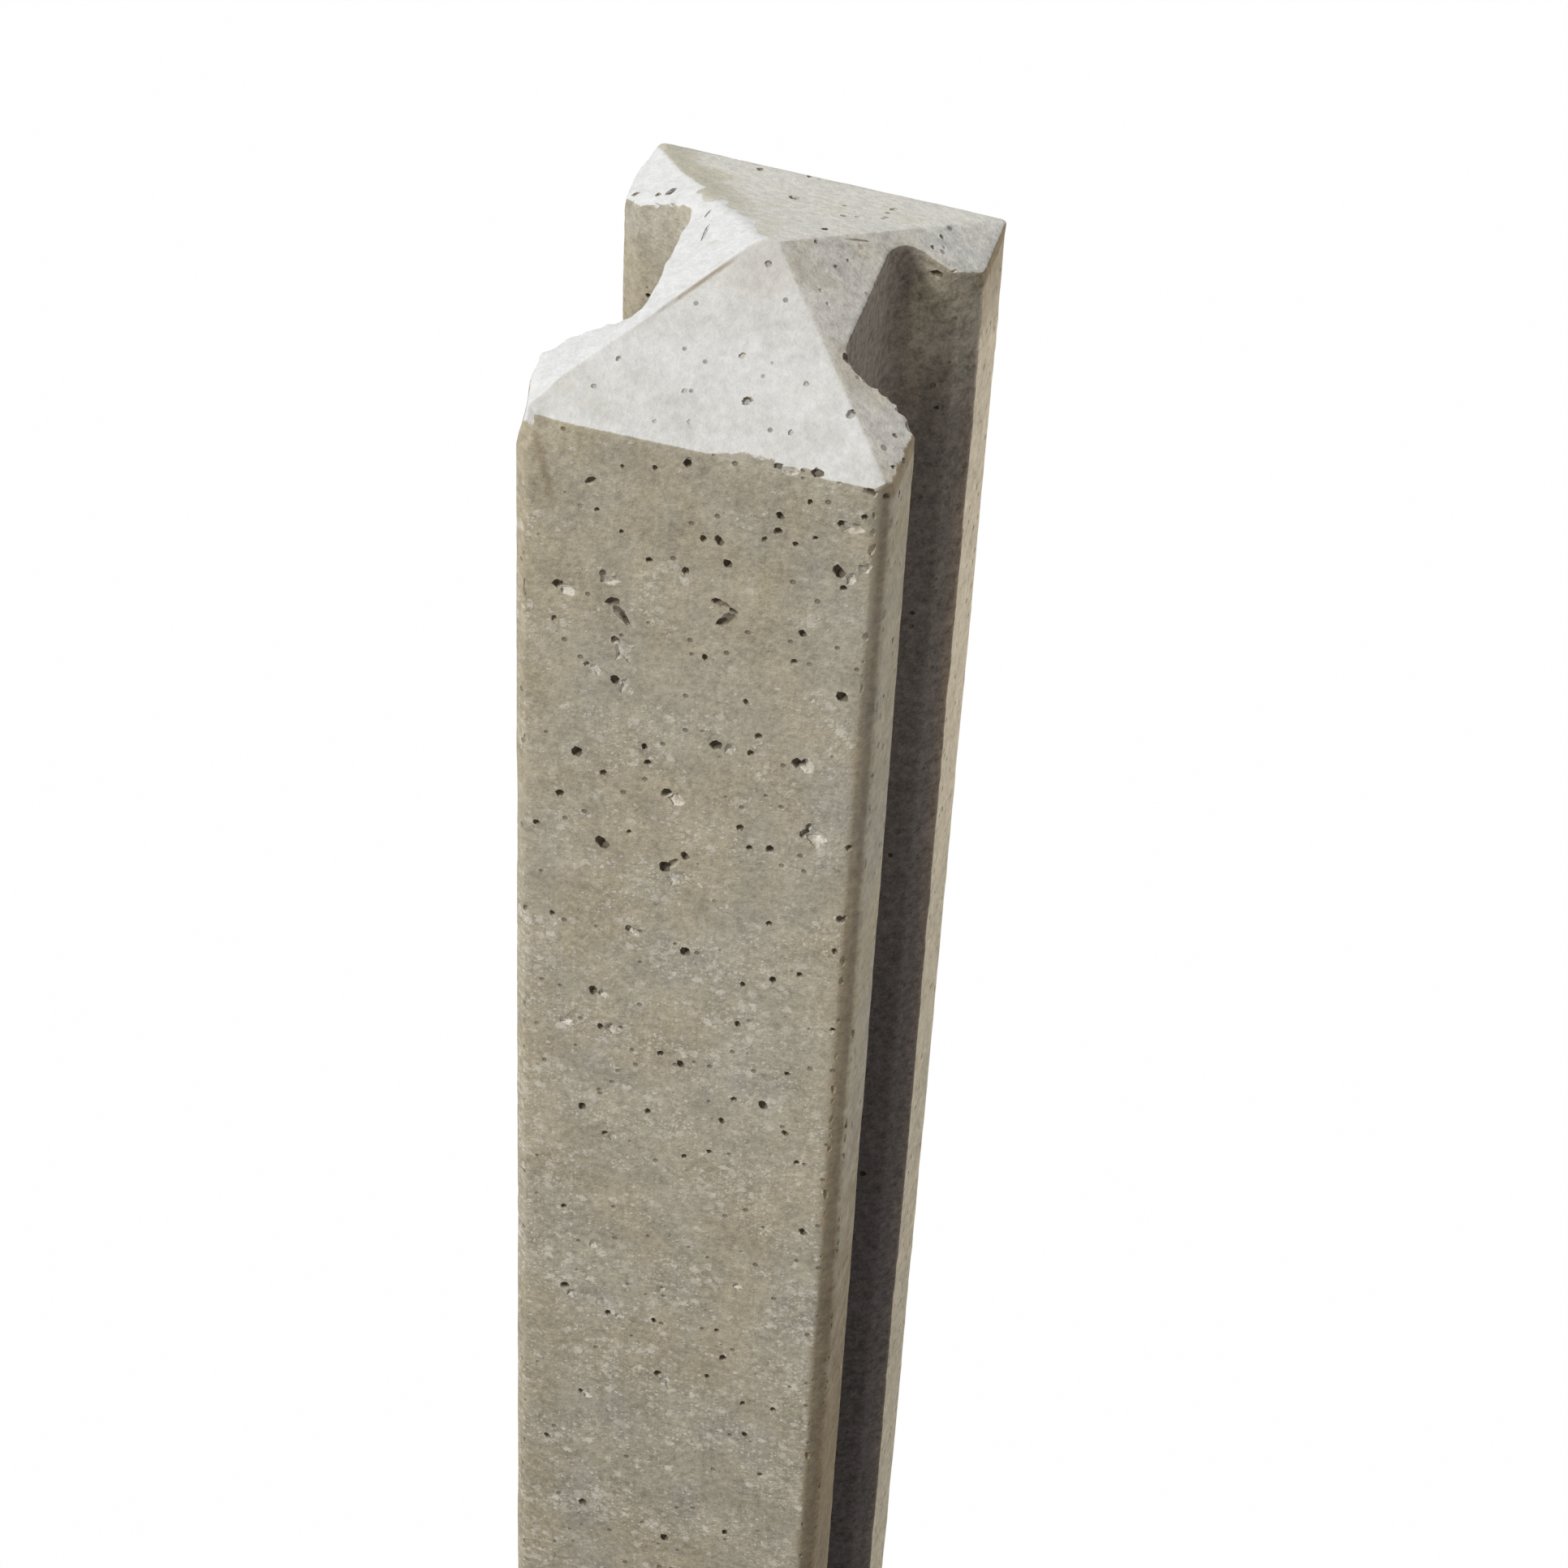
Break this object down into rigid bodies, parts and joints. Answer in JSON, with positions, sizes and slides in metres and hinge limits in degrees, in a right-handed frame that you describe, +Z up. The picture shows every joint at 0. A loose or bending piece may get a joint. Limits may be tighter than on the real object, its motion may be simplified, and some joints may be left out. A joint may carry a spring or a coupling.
{
  "type": "concrete fence post",
  "caption": "Cast concrete fence post with a tapered panel slot with flared lips down each side, struck-off front corners and a shallow four-slope weathered cap.",
  "frame": {"origin": "middle of the flat base", "axes": "+Z up along the post to the ridge of the cap, +X across the front face towards the right slot, +Y from the front face to the back face"},
  "size_m": [0.105, 0.125, 1.75],
  "materials": {
    "concrete": "pale beige-grey cast concrete, matt, with blow holes and a whiter cap"
  },
  "bodies": {
    "root": {"concrete_post": "concrete"}
  },
  "joints": []
}
